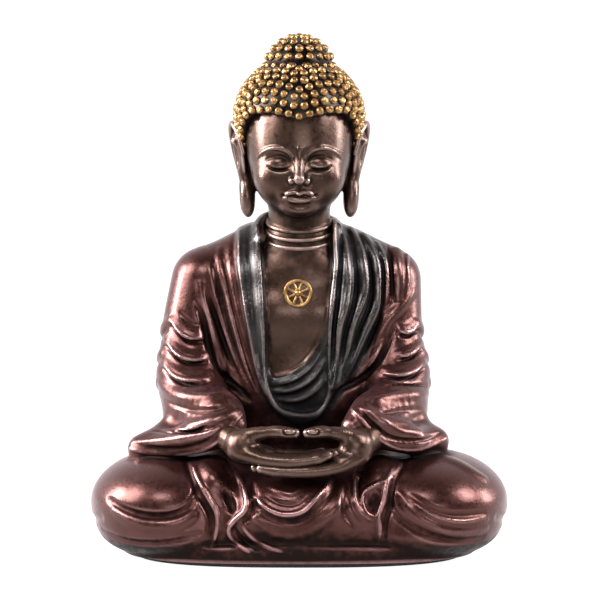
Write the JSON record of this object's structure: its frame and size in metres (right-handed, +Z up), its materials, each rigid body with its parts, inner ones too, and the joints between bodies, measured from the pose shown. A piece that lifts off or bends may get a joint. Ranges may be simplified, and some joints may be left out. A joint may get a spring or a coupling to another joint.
{
  "type": "buddha statue",
  "caption": "Seated meditating figure in draped robes, hands joined in the lap, on a low rounded plinth with a felt underside.",
  "frame": {"origin": "on the table under the middle of the statue, at the centre of its bounding box's underside", "axes": "+Z up, -Y the way the figure faces, +X the figure's left"},
  "size_m": [0.1596, 0.0965, 0.1999],
  "materials": {
    "robe_bronze": "cold-cast bronze resin, red-brown patina, rubbed bright on the folds",
    "collar_bronze": "cold-cast bronze resin, blue-grey patina",
    "skin_bronze": "cold-cast bronze resin, brown patina, polished",
    "hair_dark": "cold-cast bronze resin, dark wash",
    "gilt": "hand-painted antique gold",
    "steel": "plain steel rod",
    "ballast": "poured stone-resin filler",
    "board": "fibreboard",
    "felt": "self-adhesive felt"
  },
  "bodies": {
    "root": {"lap_casting": "robe_bronze", "torso_casting": "collar_bronze", "right_sleeve": "robe_bronze", "left_sleeve": "robe_bronze", "right_hand": "skin_bronze", "left_hand": "skin_bronze", "head_casting": "skin_bronze", "hair_cap": "hair_dark", "hair_curls": "gilt", "brow_bead": "skin_bronze", "chest_emblem": "gilt", "neck_rod": "steel", "crown_peg": "steel", "shoulder_dowels": "steel", "wrist_dowels": "steel", "waist_dowels": "steel", "ballast_fill": "ballast", "closing_board": "board", "felt_pad": "felt"}
  },
  "joints": []
}
